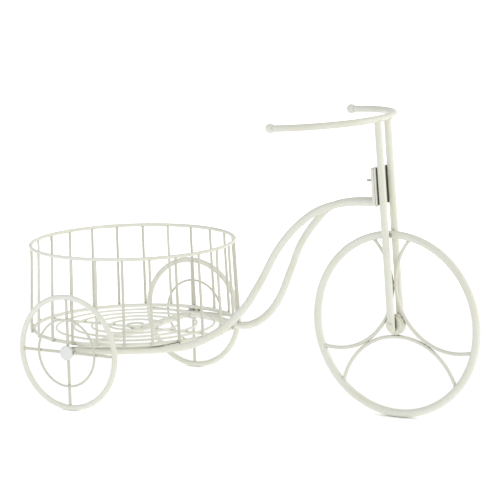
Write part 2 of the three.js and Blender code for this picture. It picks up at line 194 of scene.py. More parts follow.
# Half sizes of the nuggets of weld along x, y and z, where they are made
UPRIGHT_NUGGET = (0.9, 2.1, 2.3)
FLOOR_RING_NUGGET = (1.5, 1.5, 0.8)
ROD_END_NUGGET = (1.9, 2.1, 1.4)
ROD_AXLE_NUGGET = (2.4, 2.2, 0.9)
TUBE_NUGGET = (2.4, 4.2, 1.0)
ARC_HUB_NUGGET = (0.8, 1.6, 2.8)
ARC_PAIR_NUGGET = (2.6, 1.2, 0.7)
SPOKE_NUGGET = (1.5, 1.5, 0.8)
NUGGET_SPREAD = 0.06

# Sides of the visible rods, and the radius that stands for none where a shape closes
WIRE_SIDES = 14
TUBE_SIDES = 28
ROD_POINT = 0.02
LATHE_POINT = 0.01

# Worked out from the sizes
REAR_HUB = REAR_WHEEL / 2
FRONT_HUB = FRONT_WHEEL / 2
LEG_SPREAD = HUB_LENGTH / 2 + SIDE_GAP + TUBE / 2
RING_RADIUS = BASKET_FLOOR / 2
HOOK_RADIUS = RING_WIRE / 2 + WELD_GAP + UPRIGHT_WIRE / 2
BELLY_RADIUS = RING_RADIUS + HOOK_RADIUS
HALF_TRACK = BELLY_RADIUS + UPRIGHT_WIRE / 2 + WHEEL_CLEARANCE + REAR_RIM_TUBE / 2
ROD_HEIGHT = REAR_HUB + AXLE / 2 + WELD_GAP + FLOOR_ROD / 2
FLOOR_HEIGHT = ROD_HEIGHT + FLOOR_ROD / 2 + WELD_GAP + FLOOR_WIRE / 2
TUBE_TAIL = HALF_TRACK - SLEEVE_LENGTH / 2 - SIDE_GAP - TUBE / 2
PLATE_FOOT = FRONT_HUB + PLATE_ABOVE_WHEEL
PLATE_WIDTH = 2 * (LEG_SPREAD + TUBE / 2 + PLATE_MARGIN)
FORK_PLATE_FACE = -TUBE / 2 - WELD_GAP
FRAME_PLATE_FACE = FORK_PLATE_FACE - FORK_PLATE_THICKNESS - WELD_GAP
TUBE_END_FACE = FRAME_PLATE_FACE - FRAME_PLATE_THICKNESS - WELD_GAP
FORK_RAKE = math.atan2(FORK_SETBACK, BAR_HEIGHT - FRONT_HUB)
ORIGIN_X = (BELLY_RADIUS + UPRIGHT_WIRE / 2 - BASKET_FORWARD - WHEELBASE - FRONT_HUB) / 2

X, Y, Z = np.eye(3)
BASKET_CENTRE = np.array([ORIGIN_X + BASKET_FORWARD, 0, FLOOR_HEIGHT])
FRONT_CENTRE = np.array([ORIGIN_X + WHEELBASE, 0, FRONT_HUB])
FORK_X = np.array([math.cos(FORK_RAKE), 0, math.sin(FORK_RAKE)])
FORK_Z = np.array([-math.sin(FORK_RAKE), 0, math.cos(FORK_RAKE)])


def in_fork(x, y, z):
    return FRONT_CENTRE + x * FORK_X + y * Y + z * FORK_Z


def unit(v):
    v = np.asarray(v, float)
    return v / np.linalg.norm(v)


# Materials
def node_tree(name):
    material = bpy.data.materials.new(name)
    material.use_nodes = True
    nodes = material.node_tree.nodes
    nodes.clear()
    output = nodes.new("ShaderNodeOutputMaterial")
    shader = nodes.new("ShaderNodeBsdfPrincipled")
    material.node_tree.links.new(shader.outputs["BSDF"], output.inputs["Surface"])
    return material, nodes, material.node_tree.links, shader


def noise(nodes, links, scale, detail):
    place = nodes.get("place") or nodes.new("ShaderNodeTexCoord")
    place.name = "place"
    made = nodes.new("ShaderNodeTexNoise")
    made.inputs["Scale"].default_value = scale
    made.inputs["Detail"].default_value = detail
    links.new(place.outputs["Object"], made.inputs["Vector"])
    return made.outputs["Fac"]


def ranged(nodes, links, value, low, high, start=0.3, end=0.7):
    made = nodes.new("ShaderNodeMapRange")
    made.inputs["From Min"].default_value = start
    made.inputs["From Max"].default_value = end
    made.inputs["To Min"].default_value = low
    made.inputs["To Max"].default_value = high
    links.new(value, made.inputs["Value"])
    return made.outputs["Result"]


def calculated(nodes, links, operation, *values):
    made = nodes.new("ShaderNodeMath")
    made.operation = operation
    for socket, value in zip(made.inputs, values):
        if isinstance(value, (int, float)):
            socket.default_value = value
        else:
            links.new(value, socket)
    return made.outputs[0]


def vector_outputs(nodes, links, operation, value, *constants):
    made = nodes.new("ShaderNodeVectorMath")
    made.operation = operation
    links.new(value, made.inputs[0])
    for socket, constant in zip(made.inputs[1:], constants):
        socket.default_value = constant
    return made.outputs


def mixed(nodes, links, factor, first, second):
    made = nodes.new("ShaderNodeMix")
    made.data_type = "RGBA"
    links.new(factor, made.inputs[0])
    for socket, value in ((made.inputs[6], first), (made.inputs[7], second)):
        if isinstance(value, tuple):
            socket.default_value = (*value, 1)
        else:
            links.new(value, socket)
    return made.outputs[2]


def bumped(nodes, links, height, strength, distance, below=None):
    made = nodes.new("ShaderNodeBump")
    made.inputs["Strength"].default_value = strength
    made.inputs["Distance"].default_value = distance
    links.new(height, made.inputs["Height"])
    if below:
        links.new(below, made.inputs["Normal"])
    return made.outputs["Normal"]


def attribute(nodes, name):
    made = nodes.new("ShaderNodeAttribute")
    made.attribute_name = name
    return made.outputs["Fac"]


# The colour that a piece's painted shade reaches where it is full
SHADE_COLOUR = (0.3, 0.265, 0.17)

# Painted shade in the crevices between pieces: how far a crevice reaches, in metres, and how dark its
# painted shade is inside
CREVICE = 0.006
CREVICE_DARKNESS = 0.9
CREVICE_SHADE_COLOUR = (0.1, 0.1, 0.085)


# Painted shade in the crevices: how far a place is shut in by other pieces, but not by the floor under
# a wheel
def painted_crevice_shade(nodes, links):
    open_share = nodes.new("ShaderNodeAmbientOcclusion")
    open_share.samples = 16
    open_share.inputs["Distance"].default_value = CREVICE
    place = nodes.new("ShaderNodeSeparateXYZ")
    links.new(nodes.new("ShaderNodeNewGeometry").outputs["Position"], place.inputs[0])
    off_floor = ranged(nodes, links, place.outputs["Z"], 0, 1, CREVICE, 1.2 * CREVICE)
    darkness = ranged(nodes, links, open_share.outputs["AO"], CREVICE_DARKNESS, 0, 0.25, 0.75)
    return calculated(nodes, links, "MULTIPLY", off_floor, darkness)


# Enamel over wire and tube: a smooth coat with slow thick and thin places, pooled over a weld,
# with painted shade where a piece's shade says so and in the crevices
def enamel(name, coat, thin, pooled, roughness):
    material, nodes, links, shader = node_tree(name)
    patches = ranged(nodes, links, noise(nodes, links, 22, 3), 0, 1, 0.42, 0.68)
    specks = ranged(nodes, links, noise(nodes, links, 260, 4), 0, 1, 0.5, 0.8)
    over_weld = ranged(nodes, links, attribute(nodes, "weld"), 0.18, 0.9, 0, 1)
    colour = mixed(nodes, links, patches, coat, thin)
    colour = mixed(nodes, links, calculated(nodes, links, "MULTIPLY", specks, over_weld), colour, pooled)
    colour = mixed(nodes, links, attribute(nodes, "shade"), colour, SHADE_COLOUR)
    colour = mixed(nodes, links, painted_crevice_shade(nodes, links), colour, CREVICE_SHADE_COLOUR)
    links.new(colour, shader.inputs["Base Color"])
    gloss = ranged(nodes, links, noise(nodes, links, 70, 4), roughness - 0.05, roughness + 0.09)
    links.new(gloss, shader.inputs["Roughness"])
    sag = bumped(nodes, links, noise(nodes, links, 110, 2), 0.12, 0.0005)
    peel = bumped(nodes, links, noise(nodes, links, 900, 2), 0.08, 0.0001, sag)
    links.new(peel, shader.inputs["Normal"])
    shader.inputs["Specular IOR Level"].default_value = 0.5
    shader.inputs["Coat Weight"].default_value = 0.12
    shader.inputs["Coat Roughness"].default_value = 0.2
    return material


# Zinc plating, bright and dull in small clouds
def plating(name, bright, dull):
    material, nodes, links, shader = node_tree(name)
    cloud = ranged(nodes, links, noise(nodes, links, 240, 4), 0, 1)
    gloss = ranged(nodes, links, noise(nodes, links, 700, 3), 0.28, 0.5)
    grain = bumped(nodes, links, noise(nodes, links, 1600, 2), 0.2, 0.0001)
    links.new(mixed(nodes, links, cloud, bright, dull), shader.inputs["Base Color"])
    links.new(gloss, shader.inputs["Roughness"])
    links.new(grain, shader.inputs["Normal"])
    shader.inputs["Metallic"].default_value = 1
    return material


CREAM = ((0.862, 0.862, 0.78), (0.832, 0.822, 0.71), (0.62, 0.61, 0.5))
WHITE = ((0.9, 0.9, 0.89), (0.86, 0.865, 0.85), (0.7, 0.7, 0.66))
ZINC = ((0.66, 0.67, 0.66), (0.52, 0.53, 0.53))
MATERIALS = {
    "cream_paint": enamel("cream_enamel", *CREAM, 0.38),
    "white_cap": enamel("white_enamel", *WHITE, 0.46),
    "zinc": plating("zinc_plating", *ZINC),
}
SLOTS = {s["node"]: s["material_slot"] for s in frame["record"]["subparts"]}

# Painted shade on fine wire, on each upright in its own measure drawn at random, a little on the front
# arcs and the handlebar, and on the fork plate's front face, in the slot between the legs
THIN_WIRE_SHADE = 0.27
SHADE_SPREAD = (0.5, 1.5)
SHADE_SEED = 24
ARC_SHADE = 0.1
BAR_SHADE = 0.04
FORK_PLATE_SHADES = (0.25, 0.2, 0, 0, 0, 0)
SHARP_ANGLE = math.radians(38)


# A piece of the object, which stands for a node: chunks of corners in millimetres, faces, and
# whether the chunk is weld. Its painted shade is one value, or one for each corner.
def piece(node, chunks, shade=0.0):
    corners, faces, weld = [], [], []
    for points, polygons, is_weld in chunks:
        start = len(corners)
        corners.extend(tuple(p * MILLIMETRE) for p in np.asarray(points))
        faces.extend(tuple(start + i for i in polygon) for polygon in polygons)
        weld.extend([float(is_weld)] * len(points))
    mesh = bpy.data.meshes.new(node + "_finish")
    mesh.from_pydata(corners, [], faces)
    mesh.attributes.new("weld", "FLOAT", "POINT").data.foreach_set("value", weld)
    shades = np.broadcast_to(np.asarray(shade, np.float32), len(corners))
    mesh.attributes.new("shade", "FLOAT", "POINT").data.foreach_set("value", shades)
    mesh.polygons.foreach_set("use_smooth", [True] * len(mesh.polygons))
    mesh.set_sharp_from_angle(angle=SHARP_ANGLE)
    mesh.materials.append(MATERIALS[SLOTS[node]])
    made = bpy.data.objects.new(node + "_finish", mesh)
    bpy.context.scene.collection.objects.link(made)
    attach(made, frame["nodes"][node]["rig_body"])
    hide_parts(node)


def moved(chunks, turn=np.eye(3), offset=(0, 0, 0)):
    turn, offset = np.asarray(turn), np.asarray(offset, float)
    return [(np.asarray(points) @ turn.T + offset, faces, weld) for points, faces, weld in chunks]


def flipped(faces):
    return [face[::-1] for face in faces]


# The same chunks on the other side of the planter
def mirrored(chunks):
    return [(np.asarray(points) * (1, -1, 1), flipped(faces), weld) for points, faces, weld in chunks]


def about_z(angle):
    x, y = math.cos(angle), math.sin(angle)
    return np.array([[x, -y, 0], [y, x, 0], [0, 0, 1]])


# Corners round Z at one height. The radius may differ from one corner to the next.
def level(radius, height, sides):
    angles = np.arange(sides) * 2 * math.pi / sides
    return np.stack([radius * np.cos(angles), radius * np.sin(angles), 0 * angles + height], 1)


# Grid of rings, each the same number of corners round, as faces that look outwards
def skin(rings, closed, weld=False):
    rings = np.asarray(rings, float)
    count, sides = rings.shape[:2]
    faces = []
    for k in range(count if closed else count - 1):
        a, b = k * sides, ((k + 1) % count) * sides
        for i in range(sides):
            j = (i + 1) % sides
            faces.append((a + i, a + j, b + j, b + i))
    if not closed:
        faces.append(tuple(range(sides))[::-1])
        faces.append(tuple((count - 1) * sides + i for i in range(sides)))
    return rings.reshape(-1, 3), faces, weld


# A round rod along a path, with a radius for each of its points
def sweep(path, radii, sides, closed=False, weld=False):
    path = np.asarray(path, float)
    radii = np.broadcast_to(radii, len(path))
    ahead = np.roll(path, -1, 0) - np.roll(path, 1, 0)
    if not closed:
        ahead[0], ahead[-1] = path[1] - path[0], path[-1] - path[-2]
    ahead /= np.linalg.norm(ahead, axis=1)[:, None]
    across = np.cross(ahead[0], Z if abs(ahead[0] @ Z) < 0.9 else X)
    angles = np.arange(sides) * 2 * math.pi / sides
    rings = []
    for point, along, radius in zip(path, ahead, radii):
        across = unit(across - along * (across @ along))
        up = np.cross(along, across)
        rings.append(point + radius * (np.outer(np.cos(angles), across) + np.outer(np.sin(angles), up)))
    return skin(rings, closed, weld)


def length_along(path):
    return np.concatenate([[0], np.cumsum(np.linalg.norm(np.diff(path, axis=0), axis=1))])


def at_lengths(path, lengths):
    along = length_along(path)
    return np.stack([np.interp(lengths, along, path[:, i]) for i in range(3)], 1)


# A rod along a path, with its ends rounded off by the edge given for each
def rod(path, diameter, step, edges=(0, 0), sides=16):
    path = np.asarray(path, float)
    total = length_along(path)[-1]
    radius = diameter / 2
    marks = list(np.linspace(0, total, max(2, round(total / step) + 1)))
    turns = [math.radians(a) for a in range(0, 91, 15)]
    if edges[0]:
        marks = [m for m in marks if m > edges[0]]
        marks += [edges[0] * (1 - math.cos(a)) for a in turns]
    if edges[1]:
        marks = [m for m in marks if m < total - edges[1]]
        marks += [total - edges[1] * (1 - math.cos(a)) for a in turns]
    marks = np.array(sorted(marks))
    radii = np.full(len(marks), radius)
    for edge, depth in ((edges[0], marks), (edges[1], total - marks)):
        if edge:
            inside = np.clip(edge - depth, 0, edge)
            radii = radii - edge + np.sqrt(np.maximum(edge**2 - inside**2, 0))
    return sweep(at_lengths(path, marks), np.maximum(radii, ROD_POINT), sides)


def straight(start, end):
    return np.array([start, end], float)


# A ring of wire about Z, with the slight swelling where its ends are butted together
def ring(radius, wire, joint_angle, steps=144, sides=WIRE_SIDES, swell=0.12):
    angles = np.arange(steps) * 2 * math.pi / steps
    away = np.abs((angles - joint_angle + math.pi) % (2 * math.pi) - math.pi) * radius
    radii = wire / 2 * (1 + swell * np.exp(-((away / wire) ** 2)))
    return [sweep(level(radius, 0, steps), radii, sides, closed=True)]


# The thickness of a bead of weld, uneven all the way round
def lumps(count, size, seed):
    state = np.random.default_rng(seed)
    angles = np.arange(count) * 2 * math.pi / count
    wave = sum(state.uniform(0.3, 1) * np.sin(k * angles + state.uniform(0, 6.3)) for k in (2, 3, 5, 7))
    return size * (1 + LUMP_SHARE * wave)


# The bead of weld where a rod runs into a bar from the side. Both places, at and bar_at, may be any
# on the rod's and the bar's middle line.
def bead(at, along, radius, bar_at, bar_along, bar_radius, size, seed, count):
    along, bar_along = unit(along), unit(bar_along)
    side = unit(np.cross(along, bar_along))
    up = np.cross(side, along)
    points = []
    for i in range(count):
        angle = 2 * math.pi * i / count
        start = np.asarray(at, float) + radius * (math.cos(angle) * side + math.sin(angle) * up)
        off = start - bar_at
        off = off - bar_along * (off @ bar_along)
        run = along - bar_along * (along @ bar_along)
        a, b, c = run @ run, 2 * (run @ off), off @ off - bar_radius**2
        points.append(start + along * ((-b - math.sqrt(max(b * b - 4 * a * c, 0))) / (2 * a)))
    return sweep(points, lumps(count, size, seed), 8, closed=True, weld=True)


# The bead of weld round a rod that ends on a flat face
def collar(at, normal, radius, size, seed, count):
    normal = unit(normal)
    side = unit(np.cross(normal, Y if abs(normal @ Y) < 0.9 else Z))
    up = np.cross(normal, side)
    angles = np.arange(count) * 2 * math.pi / count
    points = at + radius * (np.outer(np.cos(angles), side) + np.outer(np.sin(angles), up))
    return sweep(points, lumps(count, size, seed), 8, closed=True, weld=True)


# A nugget of weld between two wires that lie across each other
def nugget(at, half, seed, turn=np.eye(3), steps=8, sides=12):
    state = np.random.default_rng(seed)
    rings = []
    for k in range(1, steps):
        tilt = math.pi * k / steps
        size = 1 + NUGGET_SPREAD * state.standard_normal(sides)
        points = level(math.sin(tilt), -math.cos(tilt), sides)
        rings.append(np.asarray(at, float) + (points * size[:, None] * half) @ turn.T)
    return skin(rings, False, weld=True)


# A profile of (radius, height) corners turned about Z, its corners rounded off, but for the two
# ends of an open one
def lathe(profile, edge, sides=48, closed=False):
    points = [np.array(p, float) for p in profile]
    smooth = []
    for k, point in enumerate(points):
        if not closed and k in (0, len(points) - 1):
            smooth.append(point)
            continue
        before, after = points[k - 1], points[(k + 1) % len(points)]
        room = min(np.linalg.norm(point - before), np.linalg.norm(after - point)) / 2.2
        cut = min(edge, room)
        one = point + unit(before - point) * cut
        two = point + unit(after - point) * cut
        for share in (0, 1 / 3, 2 / 3, 1):
            smooth.append((1 - share) ** 2 * one + 2 * share * (1 - share) * point + share**2 * two)
    rings = [level(max(radius, LATHE_POINT), height, sides) for radius, height in smooth]
    return [skin(rings, closed)]


# A quarter of an arc for a lathe, from the widest place up to the middle
def arc_profile(radius, low, high, steps=10):
    angles = [math.pi / 2 * i / steps for i in range(steps + 1)]
    return [(radius * math.cos(a), low + (high - low) * math.sin(a)) for a in angles]


# Centripetal spline through points, as dense points
def spline(points, steps):
    p = [np.asarray(q, float) for q in points]
    p = [2 * p[0] - p[1]] + p + [2 * p[-1] - p[-2]]
    made = []
    for k in range(1, len(p) - 2):
        d0, d1, d2 = (max(np.linalg.norm(p[k + i] - p[k + i - 1]), 1e-9) ** 0.5 for i in range(3))
        t1 = ((p[k] - p[k - 1]) / d0 - (p[k + 1] - p[k - 1]) / (d0 + d1) + (p[k + 1] - p[k]) / d1) * d1
        t2 = ((p[k + 1] - p[k]) / d1 - (p[k + 2] - p[k]) / (d1 + d2) + (p[k + 2] - p[k + 1]) / d2) * d1
        for i in range(steps):
            t = i / steps
            a = 2 * p[k] - 2 * p[k + 1] + t1 + t2
            b = -3 * p[k] + 3 * p[k + 1] - 2 * t1 - t2
            made.append(((a * t + b) * t + t1) * t + p[k])
    made.append(p[-2])
    return np.array(made)


# Basket

# One upright, made where the basket's +X side is: it ends under the upper ring and curls under the
# lower one
def upright(seed):
    top = BASKET_TOP / 2
    hook = HOOK_RADIUS - WELD_GAP
    lean = RING_RADIUS + hook - top
    stations = [(top, 0, BASKET_DEPTH - RING_WIRE / 4), (top, 0, STRAIGHT_ABOVE)]
    for out, up in LEAN_PATH:
        stations.append((top + lean * out, 0, BELLY_HEIGHT + (FLARE_HEIGHT - BELLY_HEIGHT) * up))
    for i in range(HOOK_STEPS + 1):
        angle = -math.radians(HOOK_ANGLE) * i / HOOK_STEPS
        stations.append((RING_RADIUS + hook * math.cos(angle), 0, hook * math.sin(angle)))
    at = (top, 0, BASKET_DEPTH)
    return [
        rod(spline(stations, 10), UPRIGHT_WIRE, step=1.6, edges=(0, 0.7), sides=WIRE_SIDES),
        bead(at, Z, UPRIGHT_WIRE / 2, at, Y, RING_WIRE / 2, UPRIGHT_BEAD, seed, WIRE_BEAD_CORNERS),
        nugget((RING_RADIUS + RING_WIRE / 2, 0, UPRIGHT_WELD_LIFT), UPRIGHT_NUGGET, seed),
    ]


def basket_wall():
    top_ring = ring(BASKET_TOP / 2, RING_WIRE, joint_angle=2.4)
    piece("basket_top_ring", moved(top_ring, offset=BASKET_CENTRE + BASKET_DEPTH * Z))
    piece("basket_bottom_ring", moved(ring(RING_RADIUS, RING_WIRE, joint_angle=3.9), offset=BASKET_CENTRE))
    # Painted shade on each upright, its measure drawn at random
    shades = THIN_WIRE_SHADE * np.random.default_rng(SHADE_SEED).uniform(*SHADE_SPREAD, UPRIGHTS)
    for i in range(UPRIGHTS):
        angle = math.radians(FIRST_UPRIGHT_ANGLE) + 2 * math.pi * i / UPRIGHTS
        chunks = moved(upright(100 + i), about_z(angle), BASKET_CENTRE)
        piece(f"basket_upright_{i + 1:02d}", chunks, shades[i])


def floor_rod():
    rise = FLOOR_HEIGHT - ROD_HEIGHT - FLOOR_ROD / 2
    reach = RING_RADIUS - math.sqrt((RING_WIRE / 2 + WELD_GAP) ** 2 - rise**2)
    low = ROD_HEIGHT - FLOOR_HEIGHT
    chunks = [rod(straight((-reach, 0, low), (reach, 0, low)), FLOOR_ROD, step=4, edges=(0.5, 0.5))]
    for k, side in enumerate((-1, 1)):
        chunks.append(nugget((side * reach, 0, low + ROD_WELD_LIFT), ROD_END_NUGGET, 40 + k))
    on_axle = (-BASKET_FORWARD, 0, low - FLOOR_ROD / 2 - WELD_GAP / 2)
    return chunks + [nugget(on_axle, ROD_AXLE_NUGGET, 45)]


def basket_floor():
    pitch = (RING_RADIUS - FLOOR_RING_MARGIN - FIRST_FLOOR_RING_RADIUS) / (FLOOR_RINGS - 1)
    for i in range(FLOOR_RINGS):
        radius = FIRST_FLOOR_RING_RADIUS + pitch * i
        chunks = ring(radius, FLOOR_WIRE, joint_angle=1.2 + 2 * i, steps=48 + 20 * i, sides=12)
        for k, side in enumerate((-1, 1)):
            at = (side * radius, 0, -FLOOR_WIRE / 2 - WELD_GAP / 2)
            chunks.append(nugget(at, FLOOR_RING_NUGGET, 10 * i + k))
        piece(f"floor_ring_{i + 1}", moved(chunks, offset=BASKET_CENTRE))
    piece("floor_rod", moved(floor_rod(), offset=BASKET_CENTRE))


# Frame

# The middle line of the left frame tube, drawn past its end, and the place where it crosses the ring
def tube_path():
    angle = math.radians(CROSSING_ANGLE)
    tail = np.array([0, TUBE_TAIL, REAR_HUB])
    crossing = np.array([
        BASKET_FORWARD + RING_RADIUS * math.cos(angle),
        RING_RADIUS * math.sin(angle),
        FLOOR_HEIGHT - RING_WIRE / 2 - WELD_GAP - TUBE / 2,
    ])
    seat = PLATE_FOOT - TUBE_BELOW_PLATE + TUBE / 2
    end = in_fork(TUBE_END_FACE + TUBE_OVERRUN, TUBE_PAIR_GAP / 2 + TUBE / 2, seat) - ORIGIN_X * X
    points = [tail, tail + (crossing - tail) * TAIL_PATH, crossing]
    points += [crossing + (end - crossing) * share for share in RISE_PATH] + [end]
    return spline(np.array(points) + ORIGIN_X * X, 16), crossing + ORIGIN_X * X


def frame_tube():
    path, crossing = tube_path()
    ahead = (path - FRONT_CENTRE) @ FORK_X
    face = TUBE_END_FACE + WELD_GAP
    last = int(np.argmax(ahead > face))
    share = (face - ahead[last - 1]) / (ahead[last] - ahead[last - 1])
    end = path[last - 1] + share * (path[last] - path[last - 1])
    path = np.vstack([path[:last], end])
    tail, along = path[0], unit(path[1] - path[0])
    under_ring = crossing + (TUBE / 2 + WELD_GAP / 2) * Z
    return [
        rod(path, TUBE, step=2.5, edges=(TUBE / 2.4, 0), sides=TUBE_SIDES),
        bead(tail, -along, TUBE / 2, tail, Y, AXLE / 2, AXLE_BEAD, 5, TUBE_BEAD_CORNERS),
        collar(end, FORK_X, TUBE / 2, PLATE_BEAD, 6, TUBE_BEAD_CORNERS),
        nugget(under_ring, TUBE_NUGGET, 7, about_z(math.radians(CROSSING_ANGLE))),
    ]


# The middle line of the handlebar, one cubic curve on each side
def bar_path(steps=96):
    x = ORIGIN_X + WHEELBASE - FORK_SETBACK + BAR_SAG
    end = x - BAR_REACH
    drop = BAR_DROP * BAR_GRIP / BAR_REACH
    height = BAR_HEIGHT - BAR_LOWERED
    a, b = np.array([x, 0, height]), np.array([x, BAR_BOW, height])
    c = np.array([end + BAR_GRIP, BAR_HALF_WIDTH, height - BAR_DROP + drop])
    d = np.array([end, BAR_HALF_WIDTH, height - BAR_DROP])
    half = []
    for i in range(steps + 1):
        t = i / steps
        half.append((1 - t) ** 3 * a + 3 * t * (1 - t) ** 2 * b + 3 * t**2 * (1 - t) * c + t**3 * d)
    half = np.array(half)
    return np.vstack([(half[1:] * (1, -1, 1))[::-1], half])


def bar_ball(steps=20):
    path = bar_path()
    end, along = path[-1], unit(path[-1] - path[-2])
    radius = BALL / 2
    flat = math.asin(BAR / 2 / radius)
    profile = [(0, -radius * math.cos(flat))]
    for i in range(steps + 1):
        angle = flat + (math.pi - flat) * i / steps
        profile.append((radius * math.sin(angle), -radius * math.cos(angle)))
    side = unit(np.cross(Z, along))
    turn = np.stack([side, np.cross(along, side), along], 1)
    chunks = lathe(profile, edge=0.05)
    chunks.append(collar(-radius * math.cos(flat) * Z, Z, BAR / 2, BALL_BEAD, 9, BALL_BEAD_CORNERS))
    return moved(chunks, turn, end + along * (WELD_GAP + radius * math.cos(flat)))


def fork_leg():
    length = math.hypot(FORK_SETBACK, BAR_HEIGHT - FRONT_HUB)
    foot, top = in_fork(0, LEG_SPREAD, -LEG_TAIL), in_fork(0, LEG_SPREAD, length - BAR / 4)
    path = bar_path()
    near = int(np.argmin(np.linalg.norm(path - top, axis=1)))
    bar_at, bar_along = path[near], path[near + 1] - path[near - 1]
    return [
        rod(straight(foot, top), TUBE, step=6, edges=(2.2, 1.2), sides=TUBE_SIDES),
        bead(foot, FORK_Z, TUBE / 2, bar_at, bar_along, BAR / 2, LEG_BEAD, 11, TUBE_BEAD_CORNERS),
    ]


def rear_axle():
    cap_foot = HALF_TRACK + SLEEVE_LENGTH / 2 + SIDE_GAP
    reach = cap_foot + HUB_CAP_BORE - WELD_GAP
    middle = np.array([ORIGIN_X, 0, REAR_HUB])
    path = straight(middle - reach * Y, middle + reach * Y)
    return [rod(path, AXLE, step=8, edges=(0.5, 0.5), sides=TUBE_SIDES)]


def frame_pieces():
    piece("rear_axle", rear_axle())
    for node, chunks in (("frame_tube", frame_tube()), ("fork_leg", fork_leg()), ("bar_ball", bar_ball())):
        piece(node + "_left", chunks)
        piece(node + "_right", mirrored(chunks))
    handlebar = rod(bar_path(), BAR, step=2.5, edges=(0.3, 0.3), sides=TUBE_SIDES)
    # The handlebar gets a little painted shade
    piece("handlebar", [handlebar], BAR_SHADE)


# Bracket, in the fork's frame

# A rectangle with round corners
def outline(width, height, corner, steps=6):
    points = []
    for k, (a, b) in enumerate(((1, 1), (-1, 1), (-1, -1), (1, -1))):
        centre = np.array([a * (width / 2 - corner), b * (height / 2 - corner)])
        for i in range(steps + 1):
            angle = math.pi / 2 * (k + i / steps)
            points.append(centre + corner * np.array([math.cos(angle), math.sin(angle)]))
    return np.array(points)


# A plate with a hole, its edges eased, as rings of corners from the hole out and back
def plate(face, thickness):
    ease = PLATE_EASE
    middle = PLATE_FOOT + PLATE_HEIGHT / 2
    hole_at = np.array([0, BOLT_HEIGHT - PLATE_HEIGHT / 2])
    base = outline(PLATE_WIDTH, PLATE_HEIGHT, PLATE_CORNER)
    inner = outline(PLATE_WIDTH - 2 * ease, PLATE_HEIGHT - 2 * ease, PLATE_CORNER - ease)
    toward = base - hole_at
    hole = hole_at + (BOLT / 2 + WELD_GAP) * toward / np.linalg.norm(toward, axis=1)[:, None]
    front = [(hole, 0), (inner, 0), (base, ease)]
    back = [(line, thickness - depth) for line, depth in reversed(front)]
    rings = [[in_fork(face - depth, y, middle + z) for y, z in line] for line, depth in front + back]
    points, faces, weld = skin(rings, True)
    return [(points, flipped(faces), weld)]


# Chunks made about Z, turned so that Z points ahead through the bolt's hole
def on_bolt(chunks, x):
    return moved(chunks, np.stack([FORK_Z, -Y, FORK_X], 1), in_fork(x, 0, PLATE_FOOT + BOLT_HEIGHT))


def thread(sides=32):
    share = np.arange(sides) / sides
    rings = []
    for k in range(int(BOLT_LENGTH / BOLT_PITCH * THREAD_STEPS) + 1):
        height = -BOLT_LENGTH + k * BOLT_PITCH / THREAD_STEPS
        turn = (height / BOLT_PITCH + share) % 1
        tip = min(1, (height + BOLT_LENGTH) / TIP_SLOPE + TIP_SHARE)
        rings.append(level((BOLT / 2 - THREAD_DEPTH * (1 - abs(2 * turn - 1))) * tip, height, sides))
    return [skin(rings, False)]


def bolt_head():
    dome = arc_profile(BOLT_HEAD / 2, 0, BOLT_HEAD_HEIGHT, 8)
    profile = [(0, 0), (BOLT_HEAD / 2, 0)] + dome[1:-1]
    profile.append((SOCKET / 2, BOLT_HEAD_HEIGHT - SOCKET_EASE / 2))
    profile.append((SOCKET / 2 - SOCKET_EASE, SOCKET_FLOOR + SOCKET_EASE))
    profile.append((0, SOCKET_FLOOR))
    return lathe(profile, edge=0.15)


def nut(sides=72):
    bore, flat = BOLT / 2 + NUT_PLAY, NUT / 2
    turn = np.arange(sides) * 2 * math.pi / sides
    hexagon = flat / np.cos((turn + math.pi / 6) % (math.pi / 3) - math.pi / 6)
    lower = [(bore, 0), (flat * NUT_FACE_SHARE, 0), (math.inf, NUT_CHAMFER)]
    upper = [(limit, NUT_THICKNESS - height) for limit, height in reversed(lower)]
    rings = [level(np.minimum(limit, hexagon), height, sides) for limit, height in lower + upper]
    return [skin(rings, True)]


def bracket():
    corners = len(outline(PLATE_WIDTH, PLATE_HEIGHT, PLATE_CORNER))
    # Painted shade on the fork plate's front face, round its hole in the slot between the legs
    shades = np.repeat(FORK_PLATE_SHADES, corners)
    piece("fork_plate", plate(FORK_PLATE_FACE, FORK_PLATE_THICKNESS), shades)
    piece("frame_plate", plate(FRAME_PLATE_FACE, FRAME_PLATE_THICKNESS))
    piece("bracket_bolt", on_bolt(thread() + bolt_head(), FORK_PLATE_FACE + WELD_GAP))
    piece("bracket_nut", on_bolt(nut(), TUBE_END_FACE - NUT_THICKNESS))


# Wheels

# Chunks made about Z, turned so that Z runs along Y, out of the side that is given
def facing(chunks, centre, side=1):
    turn = np.array([[1, 0, 0], [0, 0, side], [0, -side, 0]], float)
    return moved(chunks, turn, centre)


